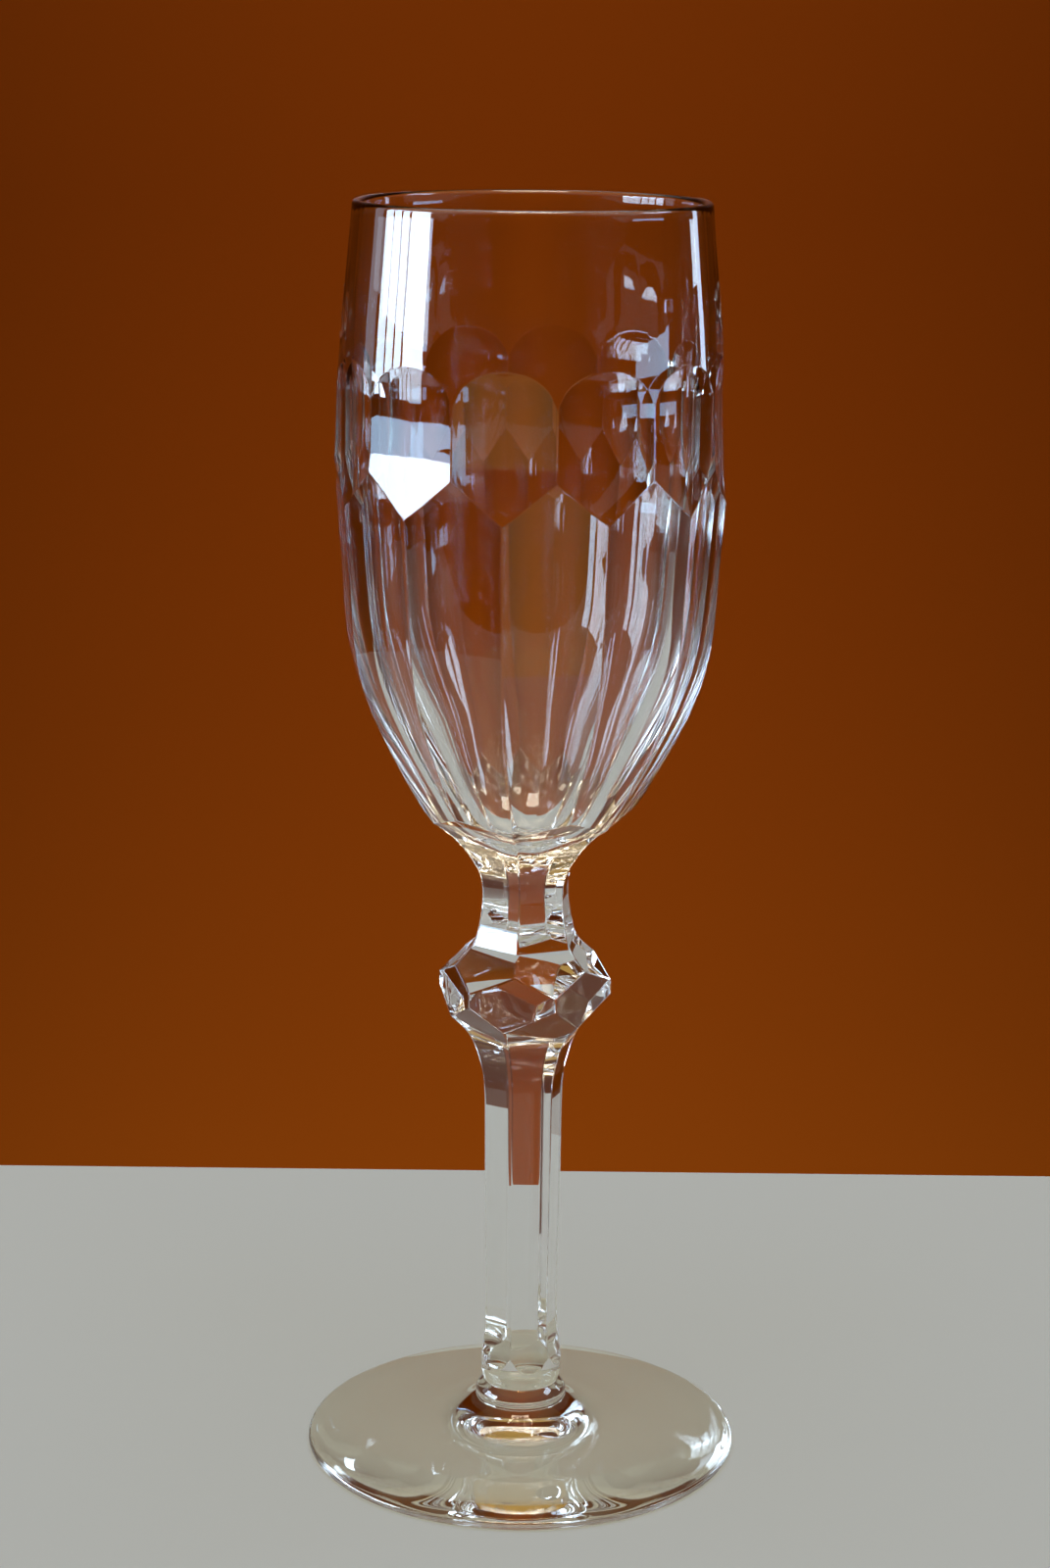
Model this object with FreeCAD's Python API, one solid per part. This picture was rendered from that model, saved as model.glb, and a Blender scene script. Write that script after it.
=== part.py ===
"""Champagne flute in cut lead crystal: bowl, neck, knop, stem, merese and foot.

Millimetres, +Z up, origin at the bottom centre of the foot.  Angles are measured
about +Z from the front (-Y), turning towards +X.
"""
import FreeCAD, Part
import math
import os

# Heights of the joints between the six pieces, bottom to top.
FOOT_TOP_Z = 8.0
MERESE_TOP_Z = 10.9
STEM_TOP_Z = 74.6
KNOP_TOP_Z = 85.6
NECK_TOP_Z = 102.6
RIM_Z = 207.6

# Foot: a shallow cone standing on a narrow ring just inside its edge.
FOOT_RADIUS = 36.0
FOOT_EDGE_THICKNESS = 1.5
FOOT_NECK_RADIUS = 7.3
FOOT_UPPER_SIDE = [(FOOT_NECK_RADIUS, FOOT_TOP_Z), (8.4, 7.1), (9.7, 6.3), (11.2, 5.65), (12.6, 5.27),
                   (13.8, 5.05), (16.0, 4.82), (20.0, 4.4), (24.0, 3.8), (28.0, 3.1), (32.0, 2.3)]
FOOT_RING_INNER = 33.2
FOOT_RING_OUTER = FOOT_RADIUS - 0.8
FOOT_HOLLOW = [(FOOT_RING_INNER, 0.0), (28.0, 0.2), (20.0, 0.8), (12.0, 1.3), (0.0, 1.5)]

# Merese: the round button between the stem and the foot.
MERESE_SIDE = [(FOOT_NECK_RADIUS, FOOT_TOP_Z), (7.57, 8.75), (7.1, 9.95), (6.25, MERESE_TOP_Z)]

# Stem: six flats that fade out into a round lower end.
STEM_END_SIDE = [(6.25, MERESE_TOP_Z), (6.6, 12.0), (6.7, 13.4)]
STEM_BLANK_RADIUS = 6.7
STEM_FLAT_TOP_Z = 60.0
STEM_PHASE = 14.3
STEM_FLATS = [(7.4, 12.8), (6.65, 14.2), (6.1, 15.6), (5.72, 17.2), (5.45, 19.6), (5.35, 23.5), (5.37, 30.0),
              (5.51, 38.0), (5.62, 48.0), (5.68, 57.5), (5.78, 62.6), (6.1, 65.8), (6.65, 68.2),
              (7.65, 71.4), (8.9, 73.5), (10.65, 75.5), (14.2, 79.6), (16.4, 82.1)]

# Knop: six facets round the widest part, with the neck and stem cuts above and below.
BLANK_RADIUS = 17.0
KNOP_FACET_DISTANCE = 12.35
KNOP_PHASE = -8.7

# Neck: six hollow facets sweeping out into the knop below and the bowl above.
NECK_PHASE = 22.5
NECK_FLATS = [(16.6, 80.0), (14.3, 81.9), (10.65, 84.9), (9.55, 85.95), (8.2, 87.6), (7.2, 90.6), (6.7, 93.8),
              (6.56, 96.6), (6.97, 99.7), (8.35, 102.6), (10.4, 105.6), (13.0, 108.2), (17.1, 111.0),
              (21.0, 113.4)]

# Bowl: blown blank and its hollow.
BOWL_BLANK_RADIUS = 31.2
BOWL_SIDE = [(BOWL_BLANK_RADIUS, 163.0), (31.05, 169.6), (30.68, 177.6), (30.3, 182.4), (29.75, 189.6),
             (28.75, 200.0)]
RIM_RADIUS = 28.15
RIM_THICKNESS = 1.5
HOLLOW_FLOOR_Z = 106.3
HOLLOW_SIDE = [(0.0, HOLLOW_FLOOR_Z), (7.0, 108.8), (12.2, 114.5), (16.6, 121.0), (21.0, 128.0), (24.3, 134.6),
               (26.1, 141.0), (27.1, 149.0), (27.8, 158.0), (28.15, 168.0), (28.2, 180.0), (27.9, 190.0),
               (27.35, 199.0)]

# Bowl cutting: twelve flat arched panels over twelve long flutes, half a step apart.
CUTS_ROUND_BOWL = 12
PANEL_PHASE = -7.5
PANEL_FLATS = [(31.0, 185.5), (30.2, 184.1), (29.97, 183.2), (29.73, 181.8), (29.59, 179.8), (29.58, 177.6),
               (29.72, 172.6), (29.98, 167.6), (30.42, 164.4), (31.15, 161.2), (32.6, 157.4)]
FLUTE_PHASE = 7.5
FLUTE_FLATS = [(11.2, 101.0), (12.6, 104.6), (14.95, 108.1), (17.15, 111.2), (19.7, 115.6), (22.85, 121.6),
               (25.6, 127.6), (27.55, 133.6), (28.6, 139.6), (29.1, 146.5), (29.5, 152.5), (29.95, 159.0),
               (30.3, 163.0), (31.1, 167.6), (32.6, 172.0)]

CUTTER_OUTSIDE = 45.0
CUTTER_HALF_WIDTH = 24.0
CUTS_ROUND_STEM = 6


def at(radius, z):
    """Point in the front half plane, where -Y is outwards."""
    return FreeCAD.Vector(0, -radius, z)


def line(start, end):
    return Part.makeLine(at(*start), at(*end))


def curve(points):
    """Smooth curve through (radius, height) points."""
    spline = Part.BSplineCurve()
    spline.interpolate([at(*point) for point in points])
    return spline.toShape()


def arc(start, middle, end):
    return Part.Arc(at(*start), at(*middle), at(*end)).toShape()


def revolved(edges):
    """Solid of revolution about Z from a closed outline."""
    face = Part.Face(Part.Wire(edges))
    return face.revolve(FreeCAD.Vector(0, 0, 0), FreeCAD.Vector(0, 0, 1), 360)


def flat_cutters(profile, count, phase):
    """Cutters that grind flats: each follows its profile in height and is flat across."""
    low = profile[0]
    high = profile[-1]
    outline = [
        curve(profile),
        line(high, (CUTTER_OUTSIDE, high[1])),
        line((CUTTER_OUTSIDE, high[1]), (CUTTER_OUTSIDE, low[1])),
        line((CUTTER_OUTSIDE, low[1]), low),
    ]
    face = Part.Face(Part.Wire(outline))
    face.translate(FreeCAD.Vector(-CUTTER_HALF_WIDTH, 0, 0))
    cutter = face.extrude(FreeCAD.Vector(2 * CUTTER_HALF_WIDTH, 0, 0))
    cutters = []
    for index in range(count):
        copy = cutter.copy()
        copy.rotate(FreeCAD.Vector(0, 0, 0), FreeCAD.Vector(0, 0, 1), phase + index * 360.0 / count)
        cutters.append(copy)
    return cutters


def cylinder(radius, low, high):
    return Part.makeCylinder(radius, high - low, FreeCAD.Vector(0, 0, low))


def make_foot():
    """Cone with a rounded edge, a standing ring and a slightly hollow underside."""
    half = FOOT_EDGE_THICKNESS / 2
    upper_edge = (FOOT_RING_OUTER, FOOT_EDGE_THICKNESS)
    lower_edge = (FOOT_RING_OUTER, 0.0)
    return revolved([
        line((0, FOOT_HOLLOW[-1][1]), (0, FOOT_TOP_Z)),
        line((0, FOOT_TOP_Z), FOOT_UPPER_SIDE[0]),
        curve(FOOT_UPPER_SIDE + [upper_edge]),
        arc(upper_edge, (FOOT_RADIUS, half), lower_edge),
        line(lower_edge, FOOT_HOLLOW[0]),
        curve(FOOT_HOLLOW),
    ])


def make_merese():
    return revolved([
        line((0, FOOT_TOP_Z), MERESE_SIDE[0]),
        curve(MERESE_SIDE),
        line(MERESE_SIDE[-1], (0, MERESE_TOP_Z)),
        line((0, MERESE_TOP_Z), (0, FOOT_TOP_Z)),
    ])


def make_stem():
    """Round lower end, then six flats that open out towards the knop."""
    blank = revolved([
        line((0, MERESE_TOP_Z), STEM_END_SIDE[0]),
        curve(STEM_END_SIDE),
        line(STEM_END_SIDE[-1], (STEM_BLANK_RADIUS, STEM_FLAT_TOP_Z)),
        line((STEM_BLANK_RADIUS, STEM_FLAT_TOP_Z), (BLANK_RADIUS, STEM_TOP_Z)),
        line((BLANK_RADIUS, STEM_TOP_Z), (0, STEM_TOP_Z)),
        line((0, STEM_TOP_Z), (0, MERESE_TOP_Z)),
    ])
    return blank.cut(flat_cutters(STEM_FLATS, CUTS_ROUND_STEM, STEM_PHASE))


def make_knop():
    """Widest part: six upright facets, pointed above by the neck cuts and below by the stem cuts."""
    blank = cylinder(BLANK_RADIUS, STEM_TOP_Z, KNOP_TOP_Z)
    upright = [(KNOP_FACET_DISTANCE, STEM_TOP_Z - 1), (KNOP_FACET_DISTANCE, KNOP_TOP_Z + 1)]
    cutters = flat_cutters(upright, CUTS_ROUND_STEM, KNOP_PHASE)
    cutters += flat_cutters(NECK_FLATS, CUTS_ROUND_STEM, NECK_PHASE)
    cutters += flat_cutters(STEM_FLATS, CUTS_ROUND_STEM, STEM_PHASE)
    return blank.cut(cutters)


def make_neck():
    blank = cylinder(BLANK_RADIUS, KNOP_TOP_Z, NECK_TOP_Z)
    return blank.cut(flat_cutters(NECK_FLATS, CUTS_ROUND_STEM, NECK_PHASE))


def make_bowl():
    """Hollow blank with a rounded rim, cut by the panels, the flutes and the neck facets."""
    rim_centre = RIM_RADIUS - RIM_THICKNESS / 2
    rim_side_z = RIM_Z - RIM_THICKNESS / 2
    outer_rim = (RIM_RADIUS, rim_side_z)
    inner_rim = (RIM_RADIUS - RIM_THICKNESS, rim_side_z)
    blank = revolved([
        line((0, HOLLOW_FLOOR_Z), (0, NECK_TOP_Z)),
        line((0, NECK_TOP_Z), (BOWL_BLANK_RADIUS, NECK_TOP_Z)),
        line((BOWL_BLANK_RADIUS, NECK_TOP_Z), BOWL_SIDE[0]),
        curve(BOWL_SIDE + [outer_rim]),
        arc(outer_rim, (rim_centre, RIM_Z), inner_rim),
        curve(HOLLOW_SIDE + [inner_rim]),
    ])
    cutters = flat_cutters(PANEL_FLATS, CUTS_ROUND_BOWL, PANEL_PHASE)
    cutters += flat_cutters(FLUTE_FLATS, CUTS_ROUND_BOWL, FLUTE_PHASE)
    cutters += flat_cutters(NECK_FLATS, CUTS_ROUND_STEM, NECK_PHASE)
    return blank.cut(cutters)


def write(name, shape):
    """Save one closed solid, checked."""
    solid = shape.Solids[0]
    closed = len(shape.Solids) == 1 and solid.isValid() and solid.isClosed()
    print(name, "closed" if closed else "NOT CLOSED", round(solid.Volume, 1), "mm3")
    solid.exportStep("parts/" + name + ".step")


os.makedirs("parts", exist_ok=True)
write("foot", make_foot())
write("merese", make_merese())
write("stem", make_stem())
write("knop", make_knop())
write("neck", make_neck())
write("bowl", make_bowl())
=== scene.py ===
"""Looks of a champagne flute in cut lead crystal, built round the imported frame.

The glass is one closed skin of revolution with flats cut into it.  Each piece is the
stretch of that skin between two of the frame's joints, so no wall shows where two
pieces are fused.  Metres in Blender; outlines below are (radius, height) in
millimetres.  Azimuths are degrees from the front (-Y), turning towards +X.
"""

import math

import bpy
import numpy as np
from mathutils import Matrix, Vector


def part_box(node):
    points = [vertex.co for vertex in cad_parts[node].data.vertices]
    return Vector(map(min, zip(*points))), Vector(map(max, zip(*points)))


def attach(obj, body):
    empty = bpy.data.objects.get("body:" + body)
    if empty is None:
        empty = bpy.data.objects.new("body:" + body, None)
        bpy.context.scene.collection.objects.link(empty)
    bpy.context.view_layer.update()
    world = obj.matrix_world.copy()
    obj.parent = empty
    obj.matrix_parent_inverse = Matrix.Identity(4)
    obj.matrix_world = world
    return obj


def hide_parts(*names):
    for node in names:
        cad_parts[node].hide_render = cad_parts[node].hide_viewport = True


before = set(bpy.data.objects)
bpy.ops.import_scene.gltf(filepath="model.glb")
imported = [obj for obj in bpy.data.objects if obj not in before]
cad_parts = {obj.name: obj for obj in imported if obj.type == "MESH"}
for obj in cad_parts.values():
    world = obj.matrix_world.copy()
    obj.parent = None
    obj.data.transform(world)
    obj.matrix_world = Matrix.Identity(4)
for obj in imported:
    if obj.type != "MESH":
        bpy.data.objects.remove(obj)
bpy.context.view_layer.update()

MM = 0.001


def top_of(node):
    """Height of a CAD node's top in millimetres."""
    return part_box(node)[1].z / MM


def radius_of(node):
    """Half the width of a CAD node in millimetres."""
    low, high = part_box(node)
    return (high.x - low.x) / 2 / MM


# Joints between the pieces, and the outer sizes, as the frame has them.
FOOT_TOP = top_of("foot")
MERESE_TOP = top_of("merese")
STEM_TOP = top_of("stem")
KNOP_TOP = top_of("knop")
NECK_TOP = top_of("neck")
RIM_TOP = top_of("bowl")
FOOT_RADIUS = radius_of("foot")

# Foot.
FOOT_NECK_RADIUS = 7.3
FOOT_EDGE_THICKNESS = 1.5
FOOT_RING_OUTER = FOOT_RADIUS - 0.8
FOOT_UNDERSIDE = [(0.0, 1.5), (12.0, 1.3), (20.0, 0.8), (28.0, 0.2), (33.2, 0.0)]
FOOT_UPPER_SIDE = [(FOOT_RING_OUTER, FOOT_EDGE_THICKNESS), (32.0, 2.3), (28.0, 3.1), (24.0, 3.8),
                   (20.0, 4.4), (16.0, 4.82), (13.8, 5.05), (12.6, 5.27), (11.2, 5.65), (9.7, 6.3),
                   (8.4, 7.1), (FOOT_NECK_RADIUS, FOOT_TOP)]

# Merese and stem.
MERESE_SIDE = [(FOOT_NECK_RADIUS, FOOT_TOP), (7.57, 8.75), (7.1, 9.95), (6.25, MERESE_TOP)]
STEM_BLANK = [(6.25, MERESE_TOP), (6.6, 12.0), (6.7, 13.4), (6.7, 14.5), (6.7, 20.0)]
STEM_PHASE = 14.3
STEM_FLATS = [(7.4, 12.8), (6.65, 14.2), (6.1, 15.6), (5.72, 17.2), (5.45, 19.6), (5.35, 23.5),
              (5.37, 30.0), (5.51, 38.0), (5.62, 48.0), (5.68, 57.5), (5.78, 62.6), (6.1, 65.8),
              (6.65, 68.2), (7.65, 71.4), (8.9, 73.5), (10.65, 75.5), (14.2, 79.6), (16.4, 82.1)]
STEM_FLARE_START = 60.0

# Knop and neck.
KNOP_PHASE = -8.7
KNOP_FACETS = [(12.35, 70.0), (12.35, 90.0)]
NECK_PHASE = 22.5
NECK_FLATS = [(16.6, 80.0), (14.3, 81.9), (10.65, 84.9), (9.55, 85.95), (8.2, 87.6), (7.2, 90.6),
              (6.7, 93.8), (6.56, 96.6), (6.97, 99.7), (8.35, 102.6), (10.4, 105.6), (13.0, 108.2),
              (17.1, 111.0), (21.0, 113.4)]

# Bowl.
RIM_RADIUS = 28.15
RIM_THICKNESS = 1.5
RIM_SIDE_TOP = RIM_TOP - RIM_THICKNESS / 2
BOWL_BLANK = [(31.2, 163.0), (31.05, 169.6), (30.68, 177.6), (30.3, 182.4), (29.75, 189.6),
              (28.75, 200.0), (RIM_RADIUS, RIM_SIDE_TOP)]
PANEL_PHASE = -7.5
PANEL_FLATS = [(31.0, 185.5), (30.2, 184.1), (29.97, 183.2), (29.73, 181.8), (29.59, 179.8),
               (29.58, 177.6), (29.72, 172.6), (29.98, 167.6), (30.42, 164.4), (31.15, 161.2),
               (32.6, 157.4)]
FLUTE_PHASE = 7.5
FLUTE_FLATS = [(11.2, 101.0), (12.6, 104.6), (14.95, 108.1), (17.15, 111.2), (19.7, 115.6),
               (22.85, 121.6), (25.6, 127.6), (27.55, 133.6), (28.6, 139.6), (29.1, 146.5),
               (29.5, 152.5), (29.95, 159.0), (30.3, 163.0), (31.1, 167.6), (32.6, 172.0)]
BOWL_HOLLOW = [(RIM_RADIUS - RIM_THICKNESS, RIM_SIDE_TOP), (27.35, 199.0), (27.9, 190.0),
               (28.2, 180.0), (28.15, 168.0), (27.8, 158.0), (27.1, 149.0), (26.1, 141.0),
               (24.3, 134.6), (21.0, 128.0), (16.6, 121.0), (12.2, 114.5), (7.0, 108.8), (0.0, 106.3)]

CUTS_ROUND_STEM = 6
CUTS_ROUND_BOWL = 12

# Fineness of the skin.  A pair of narrow strips along each arris gives it its polished edge.
LARGEST_STEP_DEG = 2.1
BOWL_ARRIS_DEG = 0.45
STEM_ARRIS_DEG = 1.8
ARRIS_MM = 0.22
ROUND_EDGE_STEPS = 10
CURVE_SAMPLES = 4000
HALVINGS = 50
ON_AXIS = 1e-9
SHORTEST_NORMAL = 1e-20


# ---------------------------------------------------------------- outlines

def spline(points, count):
    """Points evenly spread along a natural cubic spline through the outline."""
    knots = np.array(points, float)
    spans = np.hypot(*np.diff(knots, axis=0).T)
    system = np.eye(len(knots))
    loads = np.zeros((len(knots), 2))
    for i in range(1, len(knots) - 1):
        before, after = spans[i - 1], spans[i]
        system[i, i - 1:i + 2] = before, 2 * (before + after), after
        loads[i] = 6 * ((knots[i + 1] - knots[i]) / after - (knots[i] - knots[i - 1]) / before)
    bends = np.linalg.solve(system, loads)
    starts = np.concatenate([[0], np.cumsum(spans)])
    along = np.linspace(0, starts[-1], count)
    i = np.clip(np.searchsorted(starts, along, side="right") - 1, 0, len(spans) - 1)
    span = spans[i][:, None]
    b = (along - starts[i])[:, None] / span
    a = 1 - b
    sag = ((a ** 3 - a) * bends[i] + (b ** 3 - b) * bends[i + 1]) * span ** 2 / 6
    return a * knots[i] + b * knots[i + 1] + sag


def by_height(points):
    """Radius as a function of height."""
    curve = spline(points, CURVE_SAMPLES)
    order = np.argsort(curve[:, 1])
    radii, heights = curve[order].T
    return lambda z: np.interp(z, heights, radii)


def blank(points):
    """Surface of revolution: radius from azimuth and height."""
    radius = by_height(points)
    return lambda azimuth, z: radius(z)


def flats(points, count, phase):
    """Flats evenly spaced round the axis, whose distance from it follows an outline."""
    distance = by_height(points)
    step = 360 / count

    def surface(azimuth, z):
        off_centre = (azimuth - phase + step / 2) % step - step / 2
        return distance(z) / np.cos(np.radians(off_centre))

    return surface


def crossing(lower, upper, azimuth, low, high):
    """Height at each azimuth where the upper surface starts to lie inside the lower one."""
    low = np.full(len(azimuth), float(low))
    high = np.full(len(azimuth), float(high))
    for _ in range(HALVINGS):
        middle = (low + high) / 2
        inside = lower(azimuth, middle) < upper(azimuth, middle)
        low = np.where(inside, middle, low)
        high = np.where(inside, high, middle)
    return (low + high) / 2


# ---------------------------------------------------------------- the skin

def spread_azimuths(arris_deg):
    """Azimuths of the skin's columns: every arris, a strip each side of it, and even steps between.

    The bowl's flutes and panels have their arrises at even turns, and the neck's are among them.
    """
    arrises = []
    for k in range(CUTS_ROUND_STEM):
        turn = 360 / CUTS_ROUND_STEM
        arrises += [STEM_PHASE + (k + 0.5) * turn, KNOP_PHASE + (k + 0.5) * turn]
    for k in range(2 * CUTS_ROUND_BOWL):
        arrises.append(PANEL_PHASE + k * 180 / CUTS_ROUND_BOWL)
    arrises = sorted(a % 360 for a in arrises)
    columns = []
    for here, after in zip(arrises, arrises[1:] + [arrises[0] + 360]):
        strip = min(arris_deg, (after - here) / 3)
        steps = math.ceil((after - here) / LARGEST_STEP_DEG)
        columns += [here, *np.linspace(here + strip, after - strip, steps + 1)]
    return np.array(columns)


STEM_AZIMUTHS = spread_azimuths(STEM_ARRIS_DEG)
BOWL_AZIMUTHS = spread_azimuths(BOWL_ARRIS_DEG)


def near(end, other):
    """A point close to the end of a stretch, towards the next point, where its arris strip starts."""
    length = np.hypot(*(other - end))
    return end + (other - end) * min(0.5, ARRIS_MM / length)


class Skin:
    """Rows of (azimuth, radius, height), from the foot's underside round to the bowl's floor."""

    def __init__(self):
        self.rows = []
        self.starts = {}
        self.azimuths = STEM_AZIMUTHS

    def begin(self, piece):
        """The next row is the first of this piece and the last of the one before."""
        self.starts[piece] = len(self.rows)

    def turned(self, points, steps, arris=False):
        """A stretch of revolution along an outline, without its last point.

        An arris at its two ends has a narrow strip beside it.
        """
        curve = spline(points, steps + 1)
        if arris:
            curve = np.insert(curve, 1, near(curve[0], curve[1]), axis=0)
            curve = np.insert(curve, -1, near(curve[-1], curve[-2]), axis=0)
        for radius, height in curve[:-1]:
            self.ring(radius, height)

    def cut(self, surface, low, high, steps, arris_low=False, arris_high=False):
        """A stretch of a cut or blank surface between two heights, without its last row.

        An arris at its low or high end has a narrow strip beside it.
        """
        low = np.broadcast_to(low, self.azimuths.shape)
        high = np.broadcast_to(high, self.azimuths.shape)
        if arris_low:
            self.rows.append((self.azimuths, surface(self.azimuths, low), low))
            low = low + ARRIS_MM
        last = high - ARRIS_MM if arris_high else high
        for share in np.linspace(0, 1, steps + 1)[:None if arris_high else -1]:
            height = low + (last - low) * share
            self.rows.append((self.azimuths, surface(self.azimuths, height), height))

    def ring(self, radius, height):
        """One level, round row."""
        count = len(self.azimuths)
        self.rows.append((self.azimuths, np.full(count, radius), np.full(count, height)))

    def points(self):
        """All rows as an array of points in metres."""
        angle = np.radians([row[0] for row in self.rows])
        radius = np.array([row[1] for row in self.rows]) * MM
        height = np.array([row[2] for row in self.rows]) * MM
        return np.stack([radius * np.sin(angle), -radius * np.cos(angle), height], axis=-1)


def arc(centre_radius, centre_height, radius, start_deg, end_deg):
    """Outline points of a round edge."""
    angles = np.radians(np.linspace(start_deg, end_deg, ROUND_EDGE_STEPS + 1))
    return [(centre_radius + radius * math.cos(a), centre_height + radius * math.sin(a))
            for a in angles]


def build_skin():
    """The whole glass, foot first."""
    stem_blank = blank(STEM_BLANK)
    stem = flats(STEM_FLATS, CUTS_ROUND_STEM, STEM_PHASE)
    knop = flats(KNOP_FACETS, CUTS_ROUND_STEM, KNOP_PHASE)
    neck = flats(NECK_FLATS, CUTS_ROUND_STEM, NECK_PHASE)
    bowl_blank = blank(BOWL_BLANK)
    panels = flats(PANEL_FLATS, CUTS_ROUND_BOWL, PANEL_PHASE)
    flutes = flats(FLUTE_FLATS, CUTS_ROUND_BOWL, FLUTE_PHASE)

    # Each crossing is looked for between two heights that only it lies between.
    scallops = crossing(stem_blank, stem, STEM_AZIMUTHS, 12.9, 19.0)
    knop_low = crossing(stem, knop, STEM_AZIMUTHS, 74.7, 81.9)
    knop_high = crossing(knop, neck, STEM_AZIMUTHS, 80.2, 85.5)
    corner = crossing(neck, flutes, STEM_AZIMUTHS, 104.0, 113.2)
    bowl_corner = crossing(neck, flutes, BOWL_AZIMUTHS, 104.0, 113.2)
    zigzag = crossing(flutes, panels, BOWL_AZIMUTHS, 160.0, 169.0)
    arches = crossing(panels, bowl_blank, BOWL_AZIMUTHS, 175.0, 185.4)

    # The number in each stretch is how many steps it has, besides its arris strips.
    skin = Skin()
    half = FOOT_EDGE_THICKNESS / 2
    skin.begin("foot")
    skin.turned(FOOT_UNDERSIDE, 30)
    skin.turned([FOOT_UNDERSIDE[-1], (FOOT_RING_OUTER, 0.0)], 2, arris=True)
    skin.turned(arc(FOOT_RING_OUTER, half, half, -90, 90), ROUND_EDGE_STEPS)
    skin.turned(FOOT_UPPER_SIDE, 60)
    skin.begin("merese")
    skin.turned(MERESE_SIDE, 12, arris=True)
    skin.begin("stem")
    skin.cut(stem_blank, MERESE_TOP, scallops, 8, arris_low=True, arris_high=True)
    skin.cut(stem, scallops, STEM_FLARE_START, 18, arris_low=True)
    skin.cut(stem, STEM_FLARE_START, STEM_TOP, 22)
    skin.begin("knop")
    skin.cut(stem, STEM_TOP, knop_low, 8, arris_high=True)
    skin.cut(knop, knop_low, knop_high, 5, arris_low=True, arris_high=True)
    skin.cut(neck, knop_high, KNOP_TOP, 6, arris_low=True)
    skin.begin("neck")
    skin.cut(neck, KNOP_TOP, NECK_TOP, 30)
    skin.begin("bowl")
    skin.cut(neck, NECK_TOP, corner, 12, arris_high=True)
    skin.azimuths = BOWL_AZIMUTHS
    skin.cut(flutes, bowl_corner, zigzag, 44, arris_low=True, arris_high=True)
    skin.cut(panels, zigzag, arches, 16, arris_low=True, arris_high=True)
    skin.cut(bowl_blank, arches, RIM_SIDE_TOP, 14, arris_low=True)
    half = RIM_THICKNESS / 2
    skin.turned(arc(RIM_RADIUS - half, RIM_SIDE_TOP, half, 0, 180), ROUND_EDGE_STEPS)
    skin.turned(BOWL_HOLLOW, 60)
    skin.ring(*BOWL_HOLLOW[-1])
    return skin


def smooth_normals(points):
    """Unit normals of the whole skin, so that shading runs on across the joints."""
    around = np.roll(points, -1, axis=1)
    faces = np.cross(around[1:] - points[:-1], points[1:] - around[:-1])
    faces /= np.maximum(np.linalg.norm(faces, axis=-1, keepdims=True), SHORTEST_NORMAL)
    faces += np.roll(faces, 1, axis=1)
    normals = np.zeros_like(points)
    normals[:-1] += faces
    normals[1:] += faces
    normals[0] = (0, 0, -1)
    normals[-1] = (0, 0, 1)
    return normals / np.linalg.norm(normals, axis=-1, keepdims=True)


def make_piece(node, points, normals):
    """One piece: its rows of the skin as a mesh that stands for the CAD node.

    A row on the axis is one point.
    """
    rows, columns = points.shape[:2]
    index = np.arange(rows * columns).reshape(rows, columns)
    on_axis = np.hypot(points[:, 0, 0], points[:, 0, 1]) < ON_AXIS
    index[on_axis] = index[on_axis][:, :1]
    used, index = np.unique(index, return_inverse=True)
    index = index.reshape(rows, columns)
    points = points.reshape(-1, 3)[used]
    normals = normals.reshape(-1, 3)[used]
    after = np.roll(index, -1, axis=1)
    quads = np.stack([index[:-1], after[:-1], after[1:], index[1:]], axis=-1).reshape(-1, 4)
    faces = [list(dict.fromkeys(quad)) for quad in quads.tolist()]
    mesh = bpy.data.meshes.new(node + "_glass")
    mesh.from_pydata(points.tolist(), [], faces)
    piece = bpy.data.objects.new(node + "_glass", mesh)
    bpy.context.scene.collection.objects.link(piece)
    mesh.polygons.foreach_set("use_smooth", [True] * len(mesh.polygons))
    mesh.normals_split_custom_set_from_vertices(normals.tolist())
    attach(piece, "root")
    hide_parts(node)
    return piece


def make_pieces():
    """All pieces by node name.  Neighbours share the row at their joint."""
    skin = build_skin()
    points = skin.points()
    normals = smooth_normals(points)
    firsts = list(skin.starts.values())
    lasts = firsts[1:] + [len(points) - 1]
    pieces = {}
    for node, first, last in zip(skin.starts, firsts, lasts):
        pieces[node] = make_piece(node, points[first:last + 1], normals[first:last + 1])
    return pieces


# ---------------------------------------------------------------- materials

def new_material(name):
    """An empty node material and its tree."""
    material = bpy.data.materials.new(name)
    material.use_nodes = True
    material.node_tree.nodes.clear()
    return material, material.node_tree


def add(tree, kind, **inputs):
    """A node with some of its inputs set."""
    node = tree.nodes.new(kind)
    for key, value in inputs.items():
        node.inputs[key.replace("_", " ")].default_value = value
    return node


CRYSTAL_IOR = 1.545
CRYSTAL_COLOUR = (0.985, 0.992, 0.988, 1)
SHINE_THROUGH_FACE = (1.0, 0.98, 0.90, 1)
SHINE_THROUGH_EDGE = (0.76, 0.74, 0.68, 1)

# Sockets of a Mix node that mixes colours.
MIX_COLOUR_A = 6
MIX_COLOUR_B = 7
MIX_COLOUR_RESULT = 2


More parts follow.
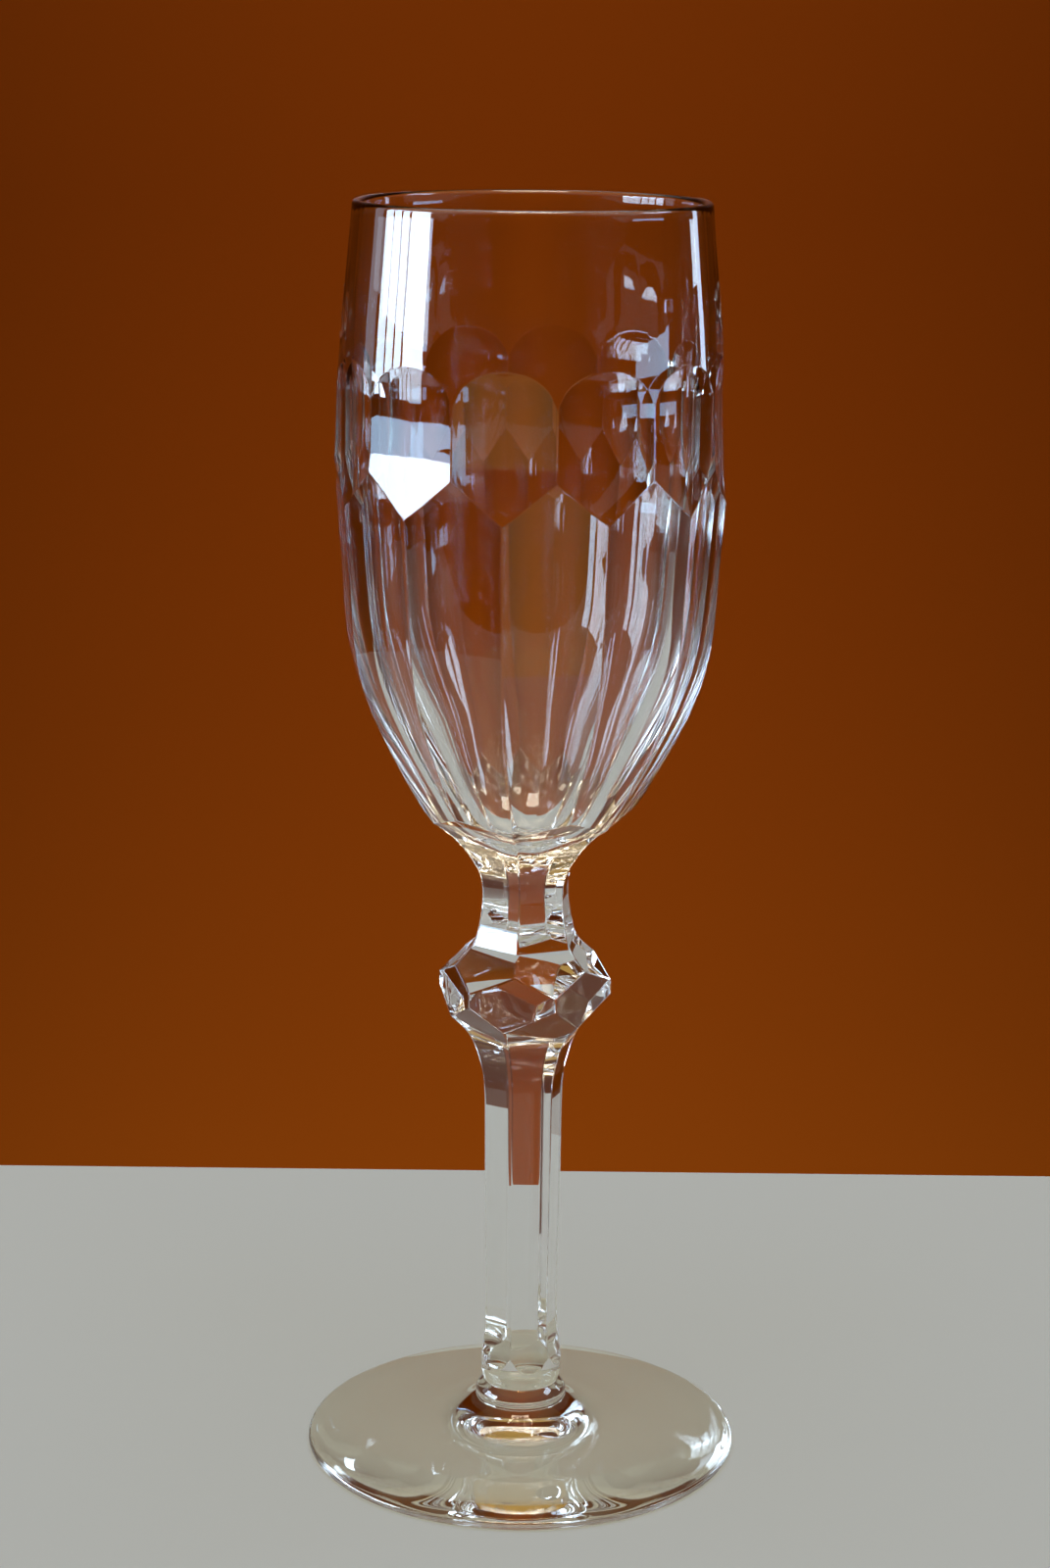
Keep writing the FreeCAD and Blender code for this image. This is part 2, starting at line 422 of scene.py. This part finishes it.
def crystal(name, stretch, wave_mm):
    """Polished lead crystal.  The surface waves a little, as hand polishing leaves it.

    The stretch is about how many waves there are to a metre along each axis.
    """
    material, tree = new_material(name)
    link = tree.links.new
    glass = add(tree, "ShaderNodeBsdfPrincipled", Base_Color=CRYSTAL_COLOUR, Roughness=0.0,
                IOR=CRYSTAL_IOR, Transmission_Weight=1.0)
    place = add(tree, "ShaderNodeTexCoord")
    mapping = add(tree, "ShaderNodeMapping", Scale=stretch)
    waves = add(tree, "ShaderNodeTexNoise", Scale=1.0, Detail=2.0, Roughness=0.45)
    bump = add(tree, "ShaderNodeBump", Strength=1.0, Distance=wave_mm * MM)
    link(place.outputs["Object"], mapping.inputs["Vector"])
    link(mapping.outputs["Vector"], waves.inputs["Vector"])
    link(waves.outputs["Fac"], bump.inputs["Height"])
    link(bump.outputs["Normal"], glass.inputs["Normal"])

    # Light shines through the glass on to the table, less so where the wall is seen edge on.
    edge = add(tree, "ShaderNodeLayerWeight", Blend=0.35)
    tint = add(tree, "ShaderNodeMix")
    tint.data_type = "RGBA"
    tint.inputs[MIX_COLOUR_A].default_value = SHINE_THROUGH_FACE
    tint.inputs[MIX_COLOUR_B].default_value = SHINE_THROUGH_EDGE
    clear = add(tree, "ShaderNodeBsdfTransparent")
    path = add(tree, "ShaderNodeLightPath")
    either = add(tree, "ShaderNodeMath")
    either.operation = "MAXIMUM"
    mix = add(tree, "ShaderNodeMixShader")
    out = add(tree, "ShaderNodeOutputMaterial")
    link(edge.outputs["Facing"], tint.inputs["Factor"])
    link(tint.outputs[MIX_COLOUR_RESULT], clear.inputs["Color"])
    link(path.outputs["Is Shadow Ray"], either.inputs[0])
    link(path.outputs["Is Diffuse Ray"], either.inputs[1])
    link(either.outputs[0], mix.inputs["Fac"])
    link(glass.outputs["BSDF"], mix.inputs[1])
    link(clear.outputs["BSDF"], mix.inputs[2])
    link(mix.outputs["Shader"], out.inputs["Surface"])
    return material


def dress(pieces):
    """The bowl's waves run up and down along its cuts, and those of the turned pieces are broad."""
    blown = crystal("crystal_cut_bowl", (200, 200, 6), 0.012)
    ground = crystal("crystal_ground_facets", (160, 160, 160), 0.002)
    turned = crystal("crystal_turned_foot", (45, 45, 45), 0.002)
    for name, piece in pieces.items():
        material = {"bowl": blown, "foot": turned, "merese": turned}.get(name, ground)
        piece.data.materials.append(material)


# ---------------------------------------------------------------- studio

TABLE_LOW = (-0.62, -0.28)
TABLE_HIGH = (0.62, 0.13)
TABLE_THICKNESS = 0.03
TABLE_EDGE = 0.003
TABLE_EDGE_POINTS = 6
TABLE_COLOUR = (0.71, 0.76, 0.78)
UNDER_THE_FOOT = 0.00002  # a hair of air, so that the table top and the foot's ring don't coincide

SWEEP_RADIUS = 1.75
SWEEP_BEND = 0.5
SWEEP_BEND_POINTS = 12
SWEEP_LOW = -0.4
SWEEP_HIGH = 1.7
SWEEP_SEGMENTS = 96
SWEEP_COLOUR = (0.42, 0.102, 0.007)

# Painted shade: the paint's colour is scaled from its middle shade to its side shade over this width.
PAINTED_SHADE_WIDTH = 0.8  # how far from the middle the paint has its shade of the sides


def mesh_object(name, verts, faces):
    """A studio mesh, linked to the scene."""
    mesh = bpy.data.meshes.new(name)
    mesh.from_pydata(verts, [], faces)
    made = bpy.data.objects.new(name, mesh)
    bpy.context.scene.collection.objects.link(made)
    return made


def joined_rings(rings, count):
    """Faces between neighbouring rings that have the same count of points."""
    faces = []
    for ring in range(rings - 1):
        low = ring * count
        high = low + count
        for here in range(count):
            after = (here + 1) % count
            faces.append((low + here, low + after, high + after, high + here))
    return faces


def paint_with_painted_shade(name, colour, middle, sides):
    """Matt paint whose tone drifts a little at random, with painted shade: its colour is scaled from one
    shade in the middle to another at the sides.
    """
    material, tree = new_material(name)
    link = tree.links.new
    place = add(tree, "ShaderNodeTexCoord")
    drift = add(tree, "ShaderNodeTexNoise", Scale=2.2, Detail=2.0)
    speckle = add(tree, "ShaderNodeMapRange", To_Min=0.96, To_Max=1.04)
    split = add(tree, "ShaderNodeSeparateXYZ")
    aside = add(tree, "ShaderNodeMath")
    aside.operation = "ABSOLUTE"
    # Painted shade: darker towards the sides, by how far the point lies from the middle.
    painted_side_shade = add(tree, "ShaderNodeMapRange", From_Max=PAINTED_SHADE_WIDTH, To_Min=middle, To_Max=sides)
    painted_side_shade.interpolation_type = "SMOOTHSTEP"
    speckle_and_painted_shade = add(tree, "ShaderNodeMath")
    speckle_and_painted_shade.operation = "MULTIPLY"
    tone = add(tree, "ShaderNodeVectorMath")
    tone.operation = "SCALE"
    tone.inputs[0].default_value = colour
    paint = add(tree, "ShaderNodeBsdfDiffuse", Roughness=0.5)
    out = add(tree, "ShaderNodeOutputMaterial")
    link(place.outputs["Object"], drift.inputs["Vector"])
    link(place.outputs["Object"], split.inputs["Vector"])
    link(split.outputs["X"], aside.inputs[0])
    link(aside.outputs[0], painted_side_shade.inputs["Value"])
    link(drift.outputs["Fac"], speckle.inputs["Value"])
    link(speckle.outputs["Result"], speckle_and_painted_shade.inputs[0])
    link(painted_side_shade.outputs["Result"], speckle_and_painted_shade.inputs[1])
    link(speckle_and_painted_shade.outputs[0], tone.inputs["Scale"])
    link(tone.outputs["Vector"], paint.inputs["Color"])
    link(paint.outputs["BSDF"], out.inputs["Surface"])
    return material


def make_table():
    """The pale floor that the glass stands on: a slab with eased edges that ends behind the glass."""
    (x0, y0), (x1, y1) = TABLE_LOW, TABLE_HIGH
    rings = [(0.0, -TABLE_THICKNESS)]
    rings += [(TABLE_EDGE * math.sin(a) - TABLE_EDGE, TABLE_EDGE * math.cos(a) - TABLE_EDGE)
              for a in np.linspace(math.pi / 2, 0, TABLE_EDGE_POINTS)]
    verts = []
    for out, z in rings:
        corners = [(x0 - out, y0 - out), (x1 + out, y0 - out), (x1 + out, y1 + out), (x0 - out, y1 + out)]
        verts += [(x, y, z - UNDER_THE_FOOT) for x, y in corners]
    top = tuple(range(len(verts) - 4, len(verts)))
    table = mesh_object("studio_floor", verts, joined_rings(len(rings), 4) + [top])
    # Painted shade: the floor's colour is a hair darker towards the sides.
    table.data.materials.append(paint_with_painted_shade("pale_floor_painted_shade", TABLE_COLOUR, middle=1.0, sides=0.97))


def make_backdrop():
    """A round sweep below and all round the floor, dark enough for the glass to shine against, with
    painted shade that makes it lighter in the middle and darker at the sides.
    """
    outline = [(0.0, SWEEP_LOW)]
    outline += [(SWEEP_RADIUS - SWEEP_BEND + SWEEP_BEND * math.sin(a),
                 SWEEP_LOW + SWEEP_BEND - SWEEP_BEND * math.cos(a))
                for a in np.linspace(0, math.pi / 2, SWEEP_BEND_POINTS)]
    outline.append((SWEEP_RADIUS, SWEEP_HIGH))
    turns = [2 * math.pi / SWEEP_SEGMENTS * k for k in range(SWEEP_SEGMENTS)]
    verts = [(r * math.cos(turn), r * math.sin(turn), z) for r, z in outline for turn in turns]
    faces = joined_rings(len(outline), SWEEP_SEGMENTS)
    backdrop = mesh_object("studio_backdrop", verts, faces)
    backdrop.data.polygons.foreach_set("use_smooth", [True] * len(faces))
    # Painted shade: the backdrop's colour is scaled from 1.35 in the middle down to 0.6 at the sides.
    backdrop.data.materials.append(paint_with_painted_shade("backdrop_paper_painted_shade", SWEEP_COLOUR, middle=1.35, sides=0.6))


def direction(azimuth):
    """Level unit vector at an azimuth."""
    angle = math.radians(azimuth)
    return Vector((math.sin(angle), -math.cos(angle), 0))


def area_light(name, place, target, size, radiance, colour):
    """A soft box that the camera doesn't see directly."""
    data = bpy.data.lights.new(name, "AREA")
    data.shape = "RECTANGLE"
    data.size, data.size_y = size
    data.energy = radiance * math.pi * size[0] * size[1]
    data.color = colour
    light = bpy.data.objects.new(name, data)
    bpy.context.scene.collection.objects.link(light)
    light.location = place
    light.rotation_mode = "QUATERNION"
    light.rotation_quaternion = (Vector(target) - Vector(place)).to_track_quat("-Z", "Y")
    light.visible_camera = False
    return light


# Panes of daylight at each side, and bluer sills below them.  Each has an azimuth, a width, a low
# and a high edge, and a radiance.
WINDOW_DISTANCE = 0.95
PANES = [
    (-73.5, 0.25, 0.105, 0.55, 26.0), (-85, 0.09, 0.105, 0.55, 22.0), (-92, 0.10, 0.105, 0.55, 19.0),
    (-99.5, 0.11, 0.105, 0.55, 16.0), (-111, 0.16, 0.12, 0.55, 1.5),
    (92, 0.40, 0.60, 0.90, 12.0), (122, 0.09, 0.12, 0.40, 7.0),
]
SILLS = [(-76, 0.32, 0.094, 0.105, 10.0), (80, 0.45, 0.045, 0.104, 7.0)]
LAMPS = [(-0.10, -0.45, 0.95), (0.03, -0.50, 1.05), (0.12, -0.42, 0.90)]
LAMP_SIZE = 0.025
LAMP_RADIANCE = 40.0

DAYLIGHT = (0.64, 0.82, 1.0)
SKYLIGHT = (0.42, 0.70, 1.0)
LAMPLIGHT = (1.0, 0.60, 0.18)
GOLDEN = (1.0, 0.85, 0.3)
PALE_SKY = (0.74, 0.90, 1.0)
CREAM = (1.0, 0.88, 0.68)
AIR_COLOUR = (1.0, 0.60, 0.16, 1)
AIR_STRENGTH = 0.4


def make_windows():
    """The windows are seen in the glass only."""
    panes = [(*pane, DAYLIGHT) for pane in PANES] + [(*sill, SKYLIGHT) for sill in SILLS]
    for azimuth, width, low, high, radiance, colour in panes:
        target = Vector((0, 0, (low + high) / 2))
        place = direction(azimuth) * WINDOW_DISTANCE + target
        pane = area_light("window_pane", place, target, (width, high - low), radiance, colour)
        pane.visible_diffuse = False


def make_lamps():
    """Small warm lamps, high in front, that are seen in the glass only."""
    for place in LAMPS:
        lamp = area_light("warm_lamp", place, target=(0, 0, 0.1), size=(LAMP_SIZE, LAMP_SIZE),
                          radiance=LAMP_RADIANCE, colour=LAMPLIGHT)
        lamp.data.shape = "DISK"
        lamp.visible_diffuse = False


def make_softboxes():
    """A small one overhead that glints on the rim, a low one in front that only reflections show,
    and a big one overhead that lights the table and the sweep but doesn't show in the glass.
    """
    rim = area_light("rim_softbox", place=(0, 0, 1.4), target=(0, 0, 0), size=(0.5, 0.5),
                     radiance=12.0, colour=CREAM)
    rim.visible_diffuse = False
    glow = area_light("front_glow", place=(0, -0.95, -0.13), target=(0, 0, 0.1), size=(1.6, 0.55),
                      radiance=0.65, colour=GOLDEN)
    glow.visible_diffuse = False
    glow.visible_transmission = False
    above = area_light("overhead_softbox", place=(0, -0.1, 1.65), target=(0, -0.1, 0),
                       size=(1.8, 1.8), radiance=1.92, colour=PALE_SKY)
    above.visible_glossy = False
    above.visible_transmission = False


def make_air():
    """The faint warm light from everywhere else."""
    world = bpy.data.worlds.new("studio_air")
    world.use_nodes = True
    background = world.node_tree.nodes["Background"]
    background.inputs["Color"].default_value = AIR_COLOUR
    background.inputs["Strength"].default_value = AIR_STRENGTH
    bpy.context.scene.world = world


# The camera stands in front of the glass, a little above its rim, and looks down at it.
CAMERA_DISTANCE = 0.5082
CAMERA_HEIGHT = 0.2379
CAMERA_PITCH_DEG = -13.68
CAMERA_YAW_DEG = 0.056
CAMERA_ROLL_DEG = 0.592
CAMERA_SIDE = 0.0002
CAMERA_LENS = 74.06
SENSOR_WIDTH = 36


def make_camera():
    data = bpy.data.cameras.new("camera")
    data.lens = CAMERA_LENS
    data.sensor_width = SENSOR_WIDTH
    data.clip_start = 0.01
    camera = bpy.data.objects.new("camera", data)
    bpy.context.scene.collection.objects.link(camera)
    turn = Matrix.Rotation(math.radians(CAMERA_YAW_DEG), 4, "Z")
    tilt = Matrix.Rotation(math.radians(90 + CAMERA_PITCH_DEG), 4, "X")
    roll = Matrix.Rotation(math.radians(CAMERA_ROLL_DEG), 4, "Z")
    place = Matrix.Translation((CAMERA_SIDE, -CAMERA_DISTANCE, CAMERA_HEIGHT))
    camera.matrix_world = place @ turn @ tilt @ roll
    bpy.context.scene.camera = camera


def set_light_paths():
    """Enough bounces for light to find its way through the cut glass, and plain colours."""
    cycles = bpy.context.scene.cycles
    cycles.max_bounces = 24
    cycles.transmission_bounces = 24
    cycles.glossy_bounces = 16
    cycles.transparent_max_bounces = 24
    cycles.caustics_reflective = False
    cycles.caustics_refractive = False
    bpy.context.scene.view_settings.view_transform = "Standard"


dress(make_pieces())
make_table()
make_backdrop()
make_windows()
make_lamps()
make_softboxes()
make_air()
make_camera()
set_light_paths()
